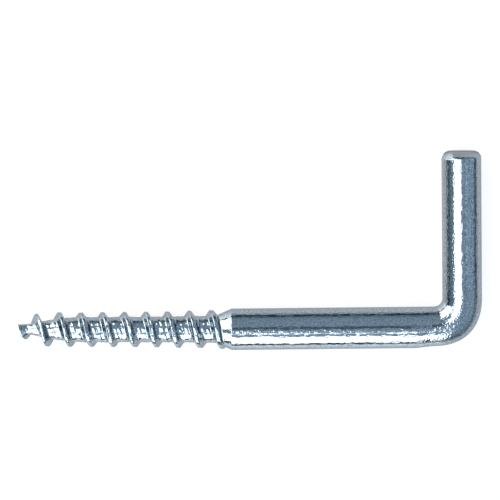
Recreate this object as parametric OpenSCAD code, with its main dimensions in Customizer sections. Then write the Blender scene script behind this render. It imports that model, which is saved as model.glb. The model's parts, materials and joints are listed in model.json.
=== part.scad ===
// Square screw hook, formed cold from one length of round steel wire: a coarse
// wood-screw thread with a blunt cut tip, a plain shank, a square bend and a leg.
// The shank lies along X and the leg points along Y, both in the plane Z = 0.
// The origin is on the shank's axis, at the shoulder where the thread ends.

/* [Shank] */
// Diameter of the plain shank
shank_d = 5.38; // [4.4:0.02:7]
// Length from the shoulder to the outer face of the leg
plain_len = 32.4; // [24:0.1:60]
// Length of the cone between the thread's core and the shank
shoulder_len = 2; // [1.2:0.1:3]

/* [Bend] */
// Inside radius of the bend
bend_inner_r = 1.1; // [0.5:0.05:4]
// How much slimmer the stretched wire is in the bend than in the leg
bend_slim = 0.03; // [0.02:0.01:0.3]
// Length of the taper from the shank down to the leg's diameter
neck_len = 3.2; // [1:0.1:6]
// Straight length between the taper and the bend
neck_gap = 0.7; // [0.1:0.1:3]

/* [Leg] */
// Diameter of the leg
leg_d = 5.15; // [4:0.05:7]
// Distance from the shank's axis to the end of the leg
leg_reach = 22.85; // [12:0.05:50]
// How far the chamfer at the end of the leg reaches in over the end face
end_chamfer_w = 0.85; // [0.2:0.05:1.2]
// How far that chamfer reaches down the leg
end_chamfer_len = 0.76; // [0.2:0.02:1.2]
// Angle by which the chamfer leans to one side
end_tilt = 3.5; // [0:0.5:5]

/* [Thread] */
// Length of the threaded part, from the shoulder to the cut tip
thread_len = 27.4; // [20:0.05:45]
// Distance from one crest to the next
pitch = 2.8; // [2.2:0.05:4]
// Distance from the shoulder back to the last crest, on the leg's side
last_crest = 2.6; // [0:0.05:4]
// Height of the ridge above the core at the shoulder
ridge_h = 0.8; // [0.4:0.02:1]
// Width of the ridge where it leaves the core
ridge_w = 1.6; // [1.2:0.05:2]
// Width of the worn, rounded crest
crest_w = 0.4; // [0.2:0.05:0.6]
// How far the last crest stays below the surface of the shank
crest_drop = 0.1; // [0.05:0.01:0.4]
// How much the crest's radius shrinks from the shoulder to the point
crest_taper = 0.32; // [0:0.01:0.5]
// How much the core's radius shrinks from the shoulder to the point
core_taper = 0.16; // [0:0.01:0.4]
// Angle by which thread rolling has left this end leaning towards the leg's side
thread_lean = 0.45; // [0:0.05:1]

/* [Point] */
// Length over which the core thins towards the tip
core_point_len = 9.5; // [6:0.5:14]
// Length over which the crest grows to its full radius
crest_point_len = 4.5; // [3:0.5:10]
// Diameter of the core at the tip
tip_core_d = 1.15; // [0.6:0.05:1.6]
// Diameter over the crest at the tip
tip_crest_d = 1.8; // [1.2:0.05:2.6]
// Slant of the cut across the tip
tip_slant = 19; // [0:1:30]

/* [Hidden] */

// Facets round the wire, and steps in one turn of the thread
wire_fn = 96;
turn_steps = 30;
turn = 360;
quarter = 90;

// Radii of the wire, the bend and the thread
shank_r = shank_d / 2;
leg_r = leg_d / 2;
bend_wire_r = leg_r - bend_slim / 2;
bend_r = bend_inner_r + bend_wire_r;
crest_back_r = shank_r - crest_drop;
core_back_r = crest_back_r - ridge_h;
crest_front_r = crest_back_r - crest_taper;
core_front_r = core_back_r - core_taper;

// Stations along the shank
leg_x = plain_len - leg_r;
bend_start = leg_x - bend_r;
neck_end = bend_start - neck_gap;
neck_start = neck_end - neck_len;

// Shank and leg run on into the bend by this much, tapering to a buried end
sunk_len = 0.35;
sunk_r = leg_r - bend_slim;

// The shoulder cone carries on a little way into the core, so that they cross
bury_len = 0.6;
shoulder_slope = (shank_r - core_back_r) / shoulder_len;
cone_start_x = -shoulder_len - bury_len;
cone_start_r = core_back_r - bury_len * shoulder_slope;

// The helix starts beyond the cut tip and ends buried inside the shank
cut_margin = 1;
step_len = pitch / turn_steps;
turns_ahead = ceil((thread_len + cut_margin - last_crest) / pitch) + 1;
helix_start = -last_crest - ridge_w / 2 - turns_ahead * pitch;
helix_steps = ceil((bury_len - helix_start) / step_len);

// Block that takes away the helix in front of the tip
cut_size = 4 * (pitch + shank_d);

// Section through one turn: place along the axis from the middle of the ridge,
// and height as a share of the ridge, with a fillet at its foot and a round top
fillet_w = 0.26;
fillet_share = 0.12;
shoulder_share = 0.86;
SECTION = [
    [-ridge_w / 2, 0],
    [-ridge_w / 2 + fillet_w, fillet_share],
    [-crest_w / 2, shoulder_share],
    [0, 1],
    [crest_w / 2, shoulder_share],
    [ridge_w / 2 - fillet_w, fillet_share],
    [ridge_w / 2, 0],
];
section_n = len(SECTION);

// Share of full size at a distance from the tip: a quarter sine, like an ogive
function grown(dist, grow_len) = sin(quarter * min(max(dist / grow_len, 0), 1));

// Radius that hardly changes at first and swells close to the shoulder
swell_power = 3;
function swollen(front, back, dist) =
    front + (back - front) * pow(min(max(dist / thread_len, 0), 1), swell_power);

function core_r(x) =
    let (dist = x + thread_len, full = swollen(core_front_r, core_back_r, dist))
    tip_core_d / 2 + (full - tip_core_d / 2) * grown(dist, core_point_len);

function crest_r(x) =
    let (dist = x + thread_len, full = swollen(crest_front_r, crest_back_r, dist))
    tip_crest_d / 2 + (full - tip_crest_d / 2) * grown(dist, crest_point_len);

// One point of the section after a number of steps round a right-hand helix
function thread_point(step, place) =
    let (
        x = helix_start + step * step_len + place[0] + ridge_w / 2,
        r = core_r(x) + (crest_r(x) - core_r(x)) * place[1],
        turned = step * turn / turn_steps
    )
    [x, r * cos(turned), r * sin(turned)];

// Number of a point in the list; the end of one turn's section is the start of the next
function at(step, k) =
    k == section_n ? at(step + turn_steps, 0)
    : step <= helix_steps ? step * section_n + k
    : (helix_steps + 1) * section_n + step - helix_steps - 1;

// Core and ridge as one closed skin, with a flat fan across each end
module thread() {
    last = helix_steps;
    ring = [for (step = [0:last], place = SECTION) thread_point(step, place)];
    tail = [for (step = [last + 1:last + turn_steps]) thread_point(step, SECTION[0])];
    start_hub = len(ring) + len(tail);
    end_hub = start_hub + 1;
    hubs = [[helix_start, 0, 0], [helix_start + (last + turn_steps) * step_len, 0, 0]];
    skin = [
        for (step = [0:last - 1], k = [0:section_n - 1])
            each [
                [at(step, k), at(step + 1, k + 1), at(step + 1, k)],
                [at(step, k), at(step, k + 1), at(step + 1, k + 1)]
            ]
    ];
    start_fan = concat(
        [for (k = [0:section_n - 1]) [start_hub, at(0, k + 1), at(0, k)]],
        [for (step = [0:turn_steps - 1]) [start_hub, at(step, 0), at(step + 1, 0)]]
    );
    end_fan = concat(
        [for (k = [0:section_n - 1]) [end_hub, at(last, k), at(last, k + 1)]],
        [for (step = [last:last + turn_steps - 1]) [end_hub, at(step + 1, 0), at(step, 0)]]
    );
    polyhedron(points = concat(ring, tail, hubs), faces = concat(skin, start_fan, end_fan));
}

// Everything in front of the slanted cut that blunts the point
module tip_cutter() {
    translate([-thread_len, 0, 0])
        rotate([0, 0, -tip_slant])
            translate([-cut_size, -cut_size / 2, -cut_size / 2])
                cube(cut_size);
}

// Shoulder cone, plain shank and the taper before the bend, turned about X
module shank() {
    rotate([0, quarter, 0])
        rotate_extrude($fn = wire_fn)
            polygon([
                [0, cone_start_x],
                [cone_start_r, cone_start_x],
                [shank_r, 0],
                [shank_r, neck_start],
                [leg_r, neck_end],
                [leg_r, bend_start],
                [sunk_r, bend_start + sunk_len],
                [0, bend_start + sunk_len]
            ]);
}

// Quarter of a ring that turns the wire from X to Y
module bend() {
    translate([bend_start, bend_r, 0])
        rotate([0, 0, -quarter])
            rotate_extrude(angle = quarter, $fn = wire_fn)
                translate([bend_r, 0])
                    circle(r = bend_wire_r, $fn = wire_fn);
}

// Straight leg with a square end face inside a leaning chamfer
module leg() {
    intersection() {
        translate([leg_x, bend_r, 0])
            rotate([-quarter, 0, 0])
                rotate_extrude($fn = wire_fn)
                    polygon([
                        [0, -sunk_len],
                        [sunk_r, -sunk_len],
                        [leg_r, 0],
                        [leg_r, leg_reach - bend_r],
                        [0, leg_reach - bend_r]
                    ]);
        translate([leg_x, leg_reach, 0])
            rotate([-quarter, 0, end_tilt])
                end_former();
    }
}

// Cone that leaves the chamfer on the wire, wide and deep enough to hold the whole leg;
// its point stands above the end face
module end_former() {
    slope = end_chamfer_len / end_chamfer_w;
    face_r = leg_r - end_chamfer_w;
    wide_r = leg_r + leg_reach;
    deep = wide_r + leg_reach;
    rotate_extrude($fn = wire_fn)
        polygon([
            [0, -deep],
            [wide_r, -deep],
            [wide_r, (face_r - wide_r) * slope],
            [0, face_r * slope]
        ]);
}

module screw_hook() {
    color("silver") {
        rotate([0, 0, -thread_lean])
            difference() {
                thread();
                tip_cutter();
            }
        shank();
        bend();
        leg();
    }
}

screw_hook();
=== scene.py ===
"""Square screw hook of bright zinc-plated steel wire, lying on a white sheet."""
import json
import math

import bmesh
import bpy
from mathutils import Matrix, Vector, noise


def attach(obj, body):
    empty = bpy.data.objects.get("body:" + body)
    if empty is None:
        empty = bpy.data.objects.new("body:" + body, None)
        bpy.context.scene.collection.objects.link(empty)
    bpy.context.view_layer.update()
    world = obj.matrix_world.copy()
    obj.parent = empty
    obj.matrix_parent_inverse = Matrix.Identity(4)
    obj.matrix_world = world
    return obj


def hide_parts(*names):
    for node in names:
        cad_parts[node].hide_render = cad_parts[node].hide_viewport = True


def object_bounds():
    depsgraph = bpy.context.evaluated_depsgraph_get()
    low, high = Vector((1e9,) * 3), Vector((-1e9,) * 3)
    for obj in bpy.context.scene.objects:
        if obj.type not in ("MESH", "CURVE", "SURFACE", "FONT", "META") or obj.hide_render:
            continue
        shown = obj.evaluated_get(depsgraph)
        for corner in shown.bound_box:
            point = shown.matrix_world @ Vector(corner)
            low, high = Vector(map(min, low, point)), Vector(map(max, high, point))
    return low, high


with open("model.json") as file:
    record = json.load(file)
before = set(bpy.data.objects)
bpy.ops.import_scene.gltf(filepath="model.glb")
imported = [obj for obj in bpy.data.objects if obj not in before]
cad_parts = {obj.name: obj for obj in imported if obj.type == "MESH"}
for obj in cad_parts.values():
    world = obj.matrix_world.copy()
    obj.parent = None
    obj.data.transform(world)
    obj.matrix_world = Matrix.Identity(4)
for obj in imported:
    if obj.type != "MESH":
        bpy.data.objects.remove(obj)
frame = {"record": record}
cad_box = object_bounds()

# Camera.
# A long lens above the hook, six degrees past the upright towards the leg's end, so
# that the leg's end face just shows. The image is 500 by 500 pixels.
MM = 0.001
PIXEL = 0.12922 * MM
IMAGE_SIDE = 500
SHOULDER_PX = (231.5, 329.3)
TIP_OVER = math.radians(6.2)
ROLL = math.radians(0.58)
LENS_MM = 400
SENSOR_MM = 36
CLIP_START = 10 * MM

camera_turn = Matrix.Rotation(-TIP_OVER, 4, "X") @ Matrix.Rotation(-ROLL, 4, "Z")
distance = LENS_MM / SENSOR_MM * IMAGE_SIDE * PIXEL
centre_right = (IMAGE_SIDE / 2 - SHOULDER_PX[0]) * PIXEL
centre_up = (SHOULDER_PX[1] - IMAGE_SIDE / 2) * PIXEL
lens = bpy.data.cameras.new("camera")
lens.lens = LENS_MM
lens.sensor_width = SENSOR_MM
lens.clip_start = CLIP_START
camera = bpy.data.objects.new("camera", lens)
camera.matrix_world = camera_turn @ Matrix.Translation((centre_right, centre_up, distance))
bpy.context.scene.collection.objects.link(camera)
bpy.context.scene.camera = camera

# Screw hook, threaded end.
# The wood-screw thread is rolled into the cold wire. The dies leave a ridge with a soft
# foot and a chipped crest, torn marks that run along it, and a point sheared at a slant.
mounts = {mount["name"]: mount for mount in frame["record"]["mounts"]}
shank_r = mounts["shank"]["dims"]["r_mm"]
leg_r = mounts["leg"]["dims"]["r_mm"]
leg_x = mounts["leg"]["pos_m"][0] / MM
tip_x = mounts["thread"]["pos_m"][0] / MM

# Sizes in millimetres; the finished mesh is scaled to metres.
PITCH = 2.8
LAST_CREST_X = -2.6
RIDGE_W = 1.5
RIDGE_H = 0.8
CREST_FLAT_W = 0.2
CREST_DROP = 0.1
CREST_TAPER = 0.32
CORE_TAPER = 0.16
SWELL_POWER = 3
FLANK_HOLLOW = 1.15
SHOULDER_LEN = 2
RUN_OUT_W = 0.35
RUN_OUT_START_X = -2 * PITCH
RUN_OUT_FULL_X = -PITCH
THREAD_LEAN = math.radians(0.45)

# The point, whose first ridge is steeper in front and drawn out towards the cut.
TIP_CORE_R = 0.65
TIP_CREST_R = 0.95
CORE_FLAT_LEN = 1
CORE_POINT_LEN = 7.5
CREST_POINT_LEN = 3.6
TIP_SLANT = math.radians(-15)
TIP_STEEPER = 1.4
TIP_STEEPER_LEN = 4
TIP_STRETCH = 0.45
TIP_STRETCH_LEN = 5
TIP_LIFT = 0.1
TIP_LIFT_LEN = 8

# Torn marks, chips and pimples; neighbouring marks are drawn far apart in the noise.
MARKS_IN_PITCH = 11
MARK_DEPTH = 0.07
MARK_LEN = 1.1
MARK_DRAW_APART = 9
CREST_WEAR = 0.02
CHIP_DEPTH = 0.13
CHIP_LEN = 0.9
PIMPLE_DEPTH = 0.012
PIMPLE_W = 0.35

# Steps of the mesh, and how close counts as one place or as on a cut.
TURN_STEPS = 80
SECTION_STEPS = 42
TURNS = 13
WELD_DIST = 0.01
CUT_DIST = 0.0001

crest_back_r = shank_r - CREST_DROP
core_back_r = crest_back_r - RIDGE_H


def share(value, start, end):
    """How far a value has come from start to end, held between 0 and 1."""
    return min(max((value - start) / (end - start), 0), 1)


def eased(part):
    """The same share with a soft start and a soft end."""
    return part * part * (3 - 2 * part)


def grown(from_tip, over):
    """Share of full size at a distance from the tip, like an ogive."""
    return math.sin(math.pi / 2 * share(from_tip, 0, over))


def die_mark(turns, spot):
    """Height of the torn marks, each of which keeps its place across the thread."""
    place = turns % 1 * MARKS_IN_PITCH
    mark = int(place)
    draws = [MARK_DRAW_APART * (number % MARKS_IN_PITCH) for number in (mark, mark + 1)]
    heights = [noise.noise(spot / MARK_LEN + Vector((0, 0, draw))) for draw in draws]
    return heights[0] + (heights[1] - heights[0]) * eased(place - mark)


def thread_radius(x, angle):
    """Radius of the threaded end at a place along the axis and an angle round it."""
    from_tip = x - tip_x
    swell = share(from_tip, 0, -tip_x) ** SWELL_POWER
    core_full = core_back_r - CORE_TAPER * (1 - swell)
    crest_full = crest_back_r - CREST_TAPER * (1 - swell)
    core = TIP_CORE_R + (core_full - TIP_CORE_R) * grown(from_tip - CORE_FLAT_LEN,
                                                         CORE_POINT_LEN)
    crest = TIP_CREST_R + (crest_full - TIP_CREST_R) * grown(from_tip, CREST_POINT_LEN)
    pulled = TIP_STRETCH * max(1 - from_tip / TIP_STRETCH_LEN, 0)
    turns = (x + pulled - LAST_CREST_X) / PITCH - angle / math.tau
    past_crest = (turns - round(turns)) * PITCH
    steeper = 1 + TIP_STEEPER * max(1 - from_tip / TIP_STEEPER_LEN, 0)
    run_out = RUN_OUT_W * share(x, RUN_OUT_START_X, RUN_OUT_FULL_X)
    off_crest = max(-past_crest * steeper, past_crest * RIDGE_W / (RIDGE_W + 2 * run_out))
    rise = share(off_crest, RIDGE_W / 2, CREST_FLAT_W / 2) ** FLANK_HOLLOW
    spot = Vector((x, core * math.cos(angle), core * math.sin(angle)))
    chip = max(noise.noise(spot / CHIP_LEN), 0) * CHIP_DEPTH
    ridge = min(core + (crest - core) * eased(rise), crest - CREST_WEAR - chip)
    torn = MARK_DEPTH * die_mark(turns, spot) + PIMPLE_DEPTH * noise.noise(spot / PIMPLE_W)
    cone = shank_r + x * (shank_r - core_back_r) / SHOULDER_LEN
    return max(ridge + torn, cone)


# A line one pitch long is wound once round the axis. That turn is repeated beyond the
# tip, cut off at the shoulder, and each vertex is moved out to the thread's radius.
hook = bmesh.new()
section = [hook.verts.new((LAST_CREST_X, 1, 0)), hook.verts.new((LAST_CREST_X + PITCH, 1, 0))]
hook.edges.new(section)
bmesh.ops.subdivide_edges(hook, edges=hook.edges[:], cuts=SECTION_STEPS - 1)
bmesh.ops.spin(hook, geom=hook.verts[:] + hook.edges[:], cent=(0, 0, 0), axis=(1, 0, 0),
               dvec=(PITCH / TURN_STEPS, 0, 0), angle=math.tau, steps=TURN_STEPS,
               use_duplicate=False)
one_turn = hook.verts[:] + hook.edges[:] + hook.faces[:]
for number in range(1, TURNS):
    copied = bmesh.ops.duplicate(hook, geom=one_turn)["geom"]
    copied_verts = [item for item in copied if isinstance(item, bmesh.types.BMVert)]
    bmesh.ops.translate(hook, verts=copied_verts, vec=(-number * PITCH, 0, 0))
bmesh.ops.remove_doubles(hook, verts=hook.verts, dist=WELD_DIST)
bmesh.ops.bisect_plane(hook, geom=hook.verts[:] + hook.edges[:] + hook.faces[:],
                       dist=CUT_DIST, plane_co=(0, 0, 0), plane_no=(1, 0, 0),
                       clear_outer=True)
for vert in hook.verts:
    angle = math.atan2(vert.co.z, vert.co.y)
    radius = thread_radius(vert.co.x, angle)
    vert.co.y = radius * math.cos(angle)
    vert.co.z = radius * math.sin(angle)
cut_facing = (-math.cos(TIP_SLANT), math.sin(TIP_SLANT), 0)
cut = bmesh.ops.bisect_plane(hook, geom=hook.verts[:] + hook.edges[:] + hook.faces[:],
                             dist=CUT_DIST, plane_co=(tip_x, 0, 0), plane_no=cut_facing,
                             clear_outer=True)
tip_edges = [item for item in cut["geom_cut"] if isinstance(item, bmesh.types.BMEdge)]
tip_face = bmesh.ops.contextual_create(hook, geom=tip_edges)["faces"]
for vert in hook.verts:
    vert.co.y += TIP_LIFT * max(1 - (vert.co.x - tip_x) / TIP_LIFT_LEN, 0)
    vert.co.y -= vert.co.x * math.tan(THREAD_LEAN)
shoulder_edges = [edge for edge in hook.edges if edge.is_boundary]

# Screw hook, shank, bend and leg.
# The plain wire keeps its drawn diameter to just before the bend, thins there on its
# outer side, is pressed full in the corner, and ends in a sheared face with a chamfer.
RING = 96
EDGE_SOFT = 0.06
SHANK_STEP = 0.45
BEND_INNER_R = 1.1
BEND_SLIM = 0.015
NECK_LEN = 2
NECK_GAP = 0.3
BEND_STEPS = 30
BEND_FULL = 0.27
# How far from the end the painted shade on the sheared end reaches.
SHADED_END_LEN = 0.4
CHAMFER_TILT = math.radians(3.5)
# Rings of the chamfer: distance from the end, radius, and how many times wider along X.
CHAMFER = ((0.92, 2.575, 1), (0.86, 2.567, 1), (0.8, 2.535, 1), (0.74, 2.473, 1.02),
           (0.64, 2.37, 1.05), (0.45, 2.105, 1.133), (0.25, 1.825, 1.233),
           (0.12, 1.635, 1.26), (0.04, 1.49, 1.26), (0, 1.37, 1.285))

bend_r = BEND_INNER_R + leg_r - BEND_SLIM
bend_start = leg_x - bend_r
neck_end = bend_start - NECK_GAP
neck_start = neck_end - NECK_LEN
bend_y = bend_r + shank_r - leg_r
leg_reach = cad_box[1][1] / MM


def drawn_out(edges, step, scale=1.0, centre=(0, 0, 0)):
    """Extrude a ring of edges by a step, scale it about a centre, return its edges."""
    new_ring = bmesh.ops.extrude_edge_only(hook, edges=edges)["geom"]
    new_verts = [item for item in new_ring if isinstance(item, bmesh.types.BMVert)]
    bmesh.ops.translate(hook, verts=new_verts, vec=step)
    if scale != 1.0:
        about = Matrix.Translation(-(Vector(centre) + Vector(step)))
        bmesh.ops.scale(hook, verts=new_verts, vec=(scale, scale, scale), space=about)
    return [item for item in new_ring if isinstance(item, bmesh.types.BMEdge)]


to_x_axis = Matrix.Translation((EDGE_SOFT, 0, 0)) @ Matrix.Rotation(math.pi / 2, 4, "Y")
start = bmesh.ops.create_circle(hook, segments=RING, radius=shank_r, matrix=to_x_axis)
# A dict drops doubles and keeps the order, which a set would change from run to run.
ring = list(dict.fromkeys(edge for vert in start["verts"] for edge in vert.link_edges))
bmesh.ops.bridge_loops(hook, edges=shoulder_edges + ring)
at_x = EDGE_SOFT
shank_steps = round((neck_start - EDGE_SOFT) / SHANK_STEP)
step_x = (neck_start - EDGE_SOFT) / shank_steps
for _ in range(shank_steps):
    ring = drawn_out(ring, (step_x, 0, 0))
    at_x += step_x
neck_steps = round(NECK_LEN / SHANK_STEP)
step_x = NECK_LEN / neck_steps
thinner = (shank_r - leg_r) / neck_steps
ring_r = shank_r
for _ in range(neck_steps):
    ring = drawn_out(ring, (step_x, thinner, 0), 1 - thinner / ring_r,
                     (at_x, shank_r - ring_r, 0))
    at_x += step_x
    ring_r -= thinner
ring = drawn_out(ring, (NECK_GAP, 0, 0))
ring_verts = list(dict.fromkeys(vert for edge in ring for vert in edge.verts))
straight_verts = set(hook.verts)
turned = bmesh.ops.spin(hook, geom=ring_verts + ring, cent=(bend_start, bend_y, 0),
                        axis=(0, 0, 1), dvec=(0, 0, 0), angle=math.pi / 2,
                        steps=BEND_STEPS, use_duplicate=False)
ring = [item for item in turned["geom_last"] if isinstance(item, bmesh.types.BMEdge)]
# The bend is fullest on its outer skin, halfway round.
for vert in set(hook.verts) - straight_verts:
    out_x, out_y = vert.co.x - bend_start, vert.co.y - bend_y
    from_centre = math.hypot(out_x, out_y)
    across = (from_centre - bend_r + leg_r) / (2 * leg_r)
    fuller = BEND_FULL * across * math.sin(2 * math.atan2(out_x, -out_y)) ** 2
    stretch = 1 + fuller / from_centre
    vert.co.x = bend_start + out_x * stretch
    vert.co.y = bend_y + out_y * stretch
chamfer_len = CHAMFER[0][0]
leg_len = leg_reach - chamfer_len - bend_y
leg_steps = round(leg_len / SHANK_STEP)
for _ in range(leg_steps):
    ring = drawn_out(ring, (0, leg_len / leg_steps, 0))
at_y, ring_r = leg_reach - chamfer_len, leg_r
end_rings = [(ring, chamfer_len, 1)]
for from_end, next_r, wider in CHAMFER[1:]:
    step_y = leg_reach - from_end - at_y
    ring = drawn_out(ring, (0, step_y, 0), next_r / ring_r, (leg_x, at_y, 0))
    end_rings.append((ring, from_end, wider))
    at_y, ring_r = leg_reach - from_end, next_r
bmesh.ops.contextual_create(hook, geom=ring)
# The sheared end of the leg is marked for painted shade: a darker grey that stands in for the
# shadowed floor it reflects.
sheared_end_shade = hook.verts.layers.float.new("sheared_end_shade")
for ring, from_end, wider in end_rings:
    lean = from_end / chamfer_len * math.tan(CHAMFER_TILT)
    for vert in {vert for edge in ring for vert in edge.verts}:
        vert.co.x = leg_x + (vert.co.x - leg_x) * wider
        vert.co.y += (vert.co.x - leg_x) * lean
        vert[sheared_end_shade] = from_end < SHADED_END_LEN

# Screw hook, what forming did to the skin of the wire.
# Bending strains the outer side of the bend, and the inner side of the leg is rough too.
# Drawing leaves a grain along the wire, three times as long as it is wide.
STRAIN_FADE = 5
STRAIN_POWER = 2
INSIDE_ROUGH = 1.6
ROUGH_FROM_X = -leg_r / 4
ROUGH_FULL_X = -leg_r * 3 / 4
GRAIN_STRETCH = 3

strain = hook.verts.layers.float.new("strain")
drawn_place = hook.verts.layers.float_vector.new("drawn_place")
# Each vertex has a place along the wire's axis and a distance outwards from it.
for vert in hook.verts:
    before, after = bend_start - vert.co.x, vert.co.y - bend_y
    if before > 0:
        along, out = -before, -vert.co.y
    elif after > 0:
        along, out = bend_r * math.pi / 2 + after, vert.co.x - leg_x
    else:
        along = bend_r * math.atan2(-before, -after)
        out = math.hypot(before, after) - bend_r
    outside = share(out, -leg_r / 2, leg_r / 2)
    near = max(1 - (max(before, 0) + max(after, 0)) / STRAIN_FADE, 0)
    inside_leg = INSIDE_ROUGH * share(out, ROUGH_FROM_X, ROUGH_FULL_X) * (after > 0)
    vert[strain] = max(outside * near ** STRAIN_POWER, inside_leg)
    vert[drawn_place] = Vector((along / GRAIN_STRETCH, out, vert.co.z)) * MM

bmesh.ops.recalc_face_normals(hook, faces=hook.faces)
bmesh.ops.scale(hook, verts=hook.verts, vec=(MM, MM, MM))
for face in hook.faces:
    face.smooth = True
for face in tip_face:
    face.smooth = False
    for edge in face.edges:
        edge.smooth = False
hook_mesh = bpy.data.meshes.new("screw_hook_plated")
hook.to_mesh(hook_mesh)
hook.free()
hook_piece = bpy.data.objects.new("screw_hook_plated", hook_mesh)
bpy.context.scene.collection.objects.link(hook_piece)

# Screw hook, bright zinc plate, blue passivated.
# A cool, mirror-like metal over a drawn grain a quarter of a millimetre wide, which frays every
# reflection, with a fine speckle. Strained and rough skin is duller, and the sheared end is
# painted a darker neutral grey: painted shade for the shadowed floor it reflects.
CRYSTAL_SHARE = 0.35
STRAINED_SHARE = 1.6
# The crystals of real plate are too small to show, so they are drawn this coarse.
GRAIN_MM = 0.22
FINE_GRAIN_MM = 0.2
GRAIN_HEIGHT_MM = 0.016
# A Mix node's colour sockets go by number, because several bear the same name.
FACTOR, COLOUR_A, COLOUR_B = 0, 6, 7
MIXED = 2


def linear(hex_colour):
    """Linear RGBA from an sRGB hex value."""
    channels = [int(hex_colour[place:place + 2], 16) / 255 for place in (1, 3, 5)]
    return [c / 12.92 if c <= 0.04045 else ((c + 0.055) / 1.055) ** 2.4 for c in channels] + [1]


def add_node(tree, kind, settings=None, values=None, links=None):
    """Add a node, with its settings, its sockets' values and what feeds its sockets."""
    made = tree.nodes.new(kind)
    for name, setting in (settings or {}).items():
        setattr(made, name, setting)
    for name, value in (values or {}).items():
        made.inputs[name].default_value = value
    for name, source in (links or {}).items():
        tree.links.new(source, made.inputs[name])
    return made


zinc = bpy.data.materials.new("blue_passivated_zinc_plate")
zinc.use_nodes = True
tree = zinc.node_tree
tree.nodes.clear()
place = add_node(tree, "ShaderNodeTexCoord")
drawn = add_node(tree, "ShaderNodeAttribute", {"attribute_name": "drawn_place"})
grain = add_node(tree, "ShaderNodeTexNoise",
                 values={"Scale": 1 / (GRAIN_MM * MM), "Detail": 0},
                 links={"Vector": drawn.outputs["Vector"]})
crystals = add_node(tree, "ShaderNodeTexNoise",
                    values={"Scale": 1 / (GRAIN_MM * MM), "Detail": 0},
                    links={"Vector": place.outputs["Object"]})
stretched = add_node(tree, "ShaderNodeAttribute", {"attribute_name": "strain"})
coarser = add_node(tree, "ShaderNodeMath", {"operation": "MULTIPLY_ADD"},
                   {1: STRAINED_SHARE, 2: CRYSTAL_SHARE}, {0: stretched.outputs["Fac"]})
height = add_node(tree, "ShaderNodeMath", {"operation": "MULTIPLY_ADD"},
                  links={0: crystals.outputs["Fac"], 1: coarser.outputs[0],
                         2: grain.outputs["Fac"]})
duller = add_node(tree, "ShaderNodeMapRange",
                  values={"From Min": 0.6, "To Min": 0.07, "To Max": 0.14},
                  links={"Value": stretched.outputs["Fac"]})
bump = add_node(tree, "ShaderNodeBump",
                values={"Strength": 1, "Distance": GRAIN_HEIGHT_MM * MM},
                links={"Height": height.outputs[0]})
fine = add_node(tree, "ShaderNodeTexNoise",
                values={"Scale": 1 / (FINE_GRAIN_MM * MM), "Detail": 0},
                links={"Vector": place.outputs["Object"]})
speckle = add_node(tree, "ShaderNodeValToRGB", links={"Fac": fine.outputs["Fac"]})
speckle.color_ramp.elements[0].position = 0.35
speckle.color_ramp.elements[0].color = linear("#89939B")
speckle.color_ramp.elements[1].position = 0.65
speckle.color_ramp.elements[1].color = linear("#A5AFB5")
# The sheared end is painted a darker neutral grey with darker edges: painted shade for the
# shadowed floor next to the leg's end, which it reflects.
end_shade_mask = add_node(tree, "ShaderNodeAttribute", {"attribute_name": "sheared_end_shade"})
speckle_and_end_shade = add_node(tree, "ShaderNodeMix", {"data_type": "RGBA"},
                  {COLOUR_B: linear("#94989A")},
                  {FACTOR: end_shade_mask.outputs["Fac"], COLOUR_A: speckle.outputs["Color"]})
edge_tint = add_node(tree, "ShaderNodeMix", {"data_type": "RGBA"},
                     {COLOUR_A: linear("#D0D4D8"), COLOUR_B: linear("#ACAEB2")},
                     {FACTOR: end_shade_mask.outputs["Fac"]})
shader = add_node(tree, "ShaderNodeBsdfPrincipled",
                  values={"Metallic": 1},
                  links={"Base Color": speckle_and_end_shade.outputs[MIXED],
                         "Roughness": duller.outputs["Result"],
                         "Specular Tint": edge_tint.outputs[MIXED],
                         "Normal": bump.outputs["Normal"]})
add_node(tree, "ShaderNodeOutputMaterial", links={"Surface": shader.outputs["BSDF"]})
hook_mesh.materials.append(zinc)

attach(hook_piece, "root")
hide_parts("screw_hook")

# Table.
# A sheet of opal acrylic lit from below, white and faintly glossy, which the hook lies
# on. Its grey base keeps the panels from brightening it.
FLOOR_SIDE = 6
floor_mesh = bpy.data.meshes.new("light_table")
floor_shape = bmesh.new()
bmesh.ops.create_grid(floor_shape, x_segments=1, y_segments=1, size=FLOOR_SIDE / 2,
                      matrix=Matrix.Translation((0, 0, cad_box[0][2])))
floor_shape.to_mesh(floor_mesh)
floor_shape.free()
floor = bpy.data.objects.new("light_table", floor_mesh)
bpy.context.scene.collection.objects.link(floor)
opal = bpy.data.materials.new("opal_acrylic_sheet")
opal.use_nodes = True
opal_shader = opal.node_tree.nodes["Principled BSDF"]
opal_shader.inputs["Base Color"].default_value = linear("#6C6C6C")
opal_shader.inputs["Roughness"].default_value = 0.9
opal_shader.inputs["Specular IOR Level"].default_value = 0
opal_shader.inputs["Coat Weight"].default_value = 1
opal_shader.inputs["Coat Roughness"].default_value = 0.1
opal_shader.inputs["Emission Color"].default_value = linear("#FFFFFF")
opal_shader.inputs["Emission Strength"].default_value = 0.88
floor_mesh.materials.append(opal)

# Studio light.
# Large soft panels along the thread's side, in its far corner and low in front, and a
# narrow strip overhead with a faint glow round it.
PANEL_AWAY = 1.2


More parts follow.
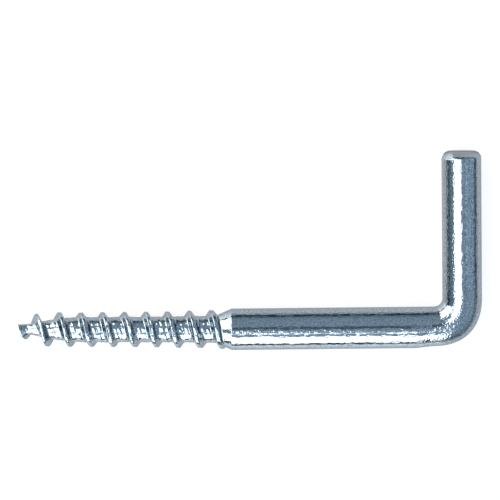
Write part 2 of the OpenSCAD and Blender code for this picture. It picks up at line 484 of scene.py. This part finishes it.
def add_panel(name, bearing, rise, wide, high, radiance):
    """Hang a soft panel facing the hook; its place and size are angles in degrees."""
    bearing, rise = math.radians(bearing), math.radians(rise)
    panel = bpy.data.lights.new(name, "AREA")
    panel.shape = "RECTANGLE"
    panel.size = 2 * PANEL_AWAY * math.tan(math.radians(wide / 2))
    panel.size_y = 2 * PANEL_AWAY * math.tan(math.radians(high / 2))
    panel.energy = radiance * math.pi * panel.size * panel.size_y
    holder = bpy.data.objects.new(name, panel)
    towards = Vector((math.cos(rise) * math.cos(bearing), math.cos(rise) * math.sin(bearing),
                      math.sin(rise)))
    holder.matrix_world = (Matrix.Translation(towards * PANEL_AWAY)
                           @ towards.to_track_quat("Z", "Y").to_matrix().to_4x4())
    bpy.context.scene.collection.objects.link(holder)


add_panel("left_panel", 190, 66.5, 35, 41, 3.5)
add_panel("corner_panel", 138, 26, 54, 46, 3.5)
add_panel("front_panel", 246, 31.4, 68, 44.8, 3.5)
add_panel("strip_panel", 270, 68, 18, 3, 4.5)
add_panel("glow_panel", 270, 69.5, 22, 25, 0.15)

# Studio room.
# Blue-grey walls that darken towards the horizon and are lighter to the right. The lens
# is a dark disc overhead, and what stands at the room's two ends mottles them.
LENS_DIRECTION = (0, 0.17, 0.985)

world = bpy.data.worlds.new("studio")
bpy.context.scene.world = world
world.use_nodes = True
tree = world.node_tree
tree.nodes.clear()
aim = add_node(tree, "ShaderNodeTexCoord")
direction = add_node(tree, "ShaderNodeSeparateXYZ",
                     links={"Vector": aim.outputs["Generated"]})
right_rise = add_node(tree, "ShaderNodeMapRange", values={"To Max": 0.1},
                      links={"Value": direction.outputs["X"]})
raised = add_node(tree, "ShaderNodeMath", {"operation": "ADD"},
                  links={0: direction.outputs["Z"], 1: right_rise.outputs["Result"]})
ramp = add_node(tree, "ShaderNodeValToRGB", links={"Fac": raised.outputs[0]})
walls = ramp.color_ramp.elements
walls[0].position = 0.1
walls[0].color = linear("#36444C")
walls[1].position = 1
walls[1].color = linear("#ADBFCE")
for rise, colour in ((0.2, "#6F8591"), (0.34, "#93A9B0"), (0.5, "#A6B8C0")):
    walls.new(rise).color = linear(colour)
side_tint = add_node(tree, "ShaderNodeMapRange", {"data_type": "FLOAT_VECTOR"},
                     {"From Min": (-1, -1, -1), "From Max": (1, 1, 1),
                      "To Min": (0.85, 0.9, 0.95), "To Max": (1.35, 1.35, 1.45)},
                     {"Vector": direction.outputs["X"]})
tinted = add_node(tree, "ShaderNodeMix", {"data_type": "RGBA", "blend_type": "MULTIPLY"},
                  {FACTOR: 1},
                  {COLOUR_A: ramp.outputs["Color"], COLOUR_B: side_tint.outputs["Vector"]})
off_lens = add_node(tree, "ShaderNodeVectorMath", {"operation": "DISTANCE"},
                    {1: LENS_DIRECTION}, {0: aim.outputs["Generated"]})
dark_lens = add_node(tree, "ShaderNodeMapRange",
                     values={"From Min": 0.1, "From Max": 0.16, "To Min": 0.35, "To Max": 1},
                     links={"Value": off_lens.outputs["Value"]})
to_side = add_node(tree, "ShaderNodeMath", {"operation": "ABSOLUTE"},
                   links={0: direction.outputs["X"]})
ends = add_node(tree, "ShaderNodeMapRange", values={"From Min": 0.05, "From Max": 0.3},
                links={"Value": to_side.outputs[0]})
clutter = add_node(tree, "ShaderNodeTexNoise", values={"Scale": 15, "Detail": 1},
                   links={"Vector": aim.outputs["Generated"]})
shades = add_node(tree, "ShaderNodeMapRange",
                  values={"From Min": 0.36, "From Max": 0.64,
                          "To Min": -0.65, "To Max": 0.65},
                  links={"Value": clutter.outputs["Fac"]})
# The light is even, at 1, in the middle of the room, and uneven towards its ends.
busy = add_node(tree, "ShaderNodeMath", {"operation": "MULTIPLY_ADD"}, {2: 1},
                {0: shades.outputs["Result"], 1: ends.outputs["Result"]})
light = add_node(tree, "ShaderNodeMath", {"operation": "MULTIPLY"},
                 links={0: busy.outputs[0], 1: dark_lens.outputs["Result"]})
room = add_node(tree, "ShaderNodeBackground",
                links={"Color": tinted.outputs[MIXED], "Strength": light.outputs[0]})
add_node(tree, "ShaderNodeOutputWorld", links={"Surface": room.outputs["Background"]})
bpy.context.scene.view_settings.view_transform = "Standard"
